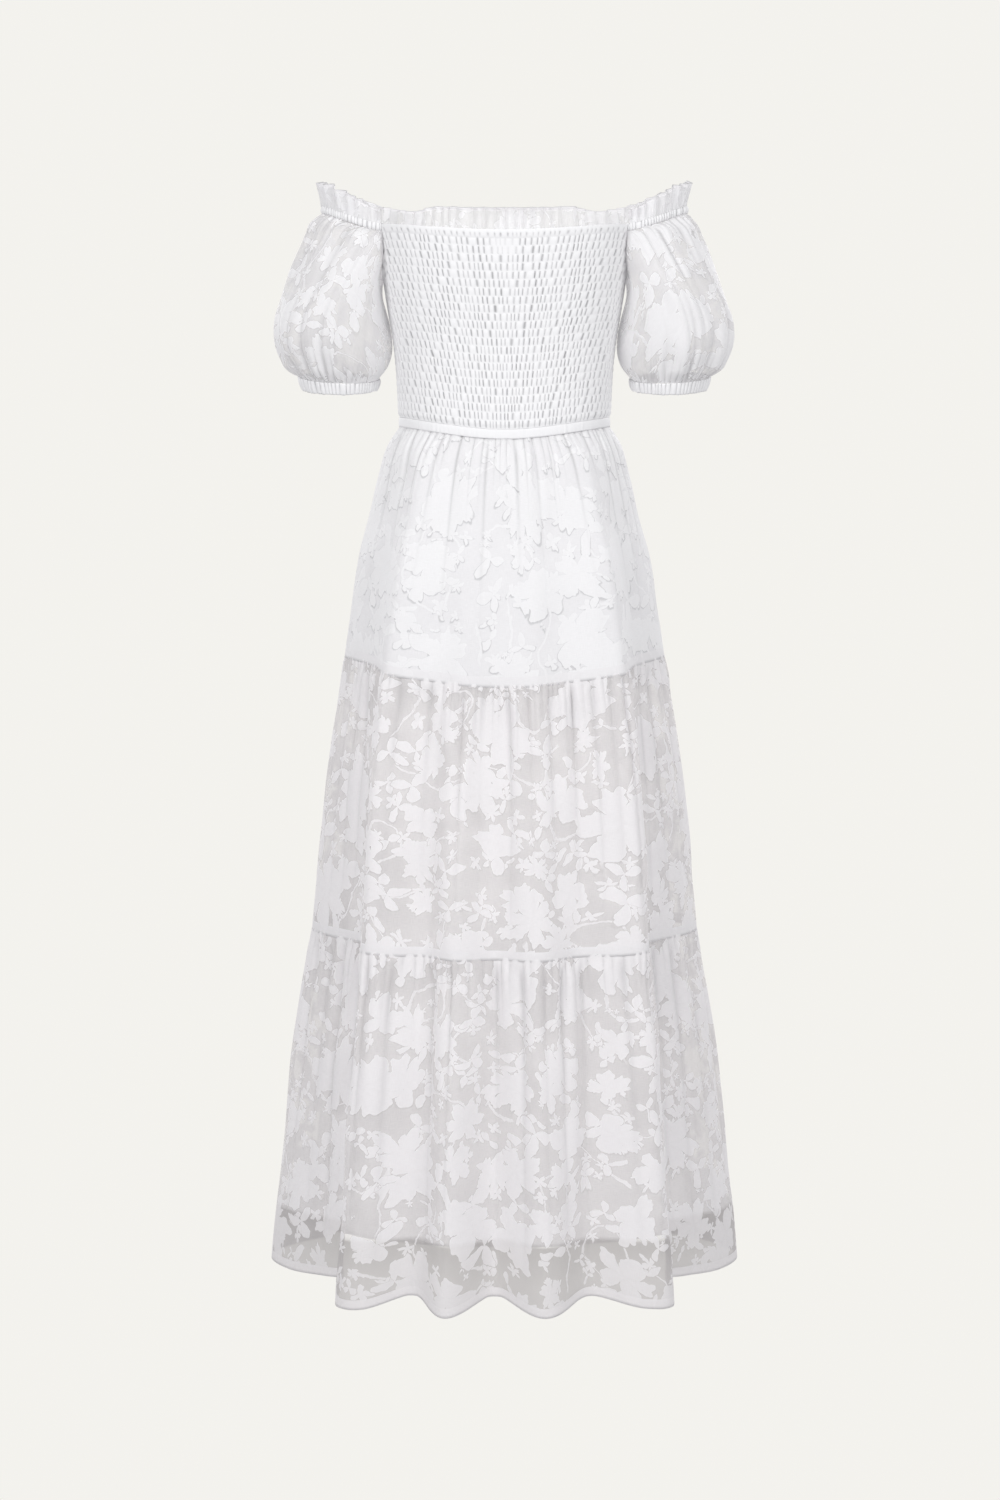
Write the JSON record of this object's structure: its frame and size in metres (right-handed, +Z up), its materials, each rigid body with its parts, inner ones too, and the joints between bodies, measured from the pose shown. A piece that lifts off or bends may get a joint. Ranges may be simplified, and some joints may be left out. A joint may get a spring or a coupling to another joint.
{
  "type": "midi dress",
  "caption": "Off-shoulder midi dress of sheer floral cloth, with a frilled elastic neckline, smocked back bodice, short puffed sleeves and a tiered gathered skirt over a plain slip",
  "frame": {"origin": "Middle of the top opening, level with the front neckline seam, where the wearer's bust holds the dress up", "axes": "+Z up, -Y out of the garment's back, which is the side in the picture, +X towards the wearer's right"},
  "size_m": [0.5204, 0.4607, 1.1922],
  "materials": {
    "sheer_floral": "sheer white organza with denser white flowers and leaves",
    "smocked": "white cotton gathered on rows of elastic thread",
    "trim": "white folded cloth band",
    "slip": "plain white lining cloth"
  },
  "bodies": {
    "root": {"bodice_back": "smocked", "bodice_front": "sheer_floral", "waistband_back": "trim", "waistband_front": "trim", "neck_casing": "trim", "neck_frill": "sheer_floral", "sleeve_left": "sheer_floral", "sleeve_right": "sheer_floral", "cuff_left": "trim", "cuff_right": "trim", "tier_1_back": "sheer_floral", "tier_1_front": "sheer_floral", "tier_2_back": "sheer_floral", "tier_2_front": "sheer_floral", "tier_3_back": "sheer_floral", "tier_3_front": "sheer_floral", "lining_back": "slip", "lining_front": "slip"}
  },
  "joints": []
}
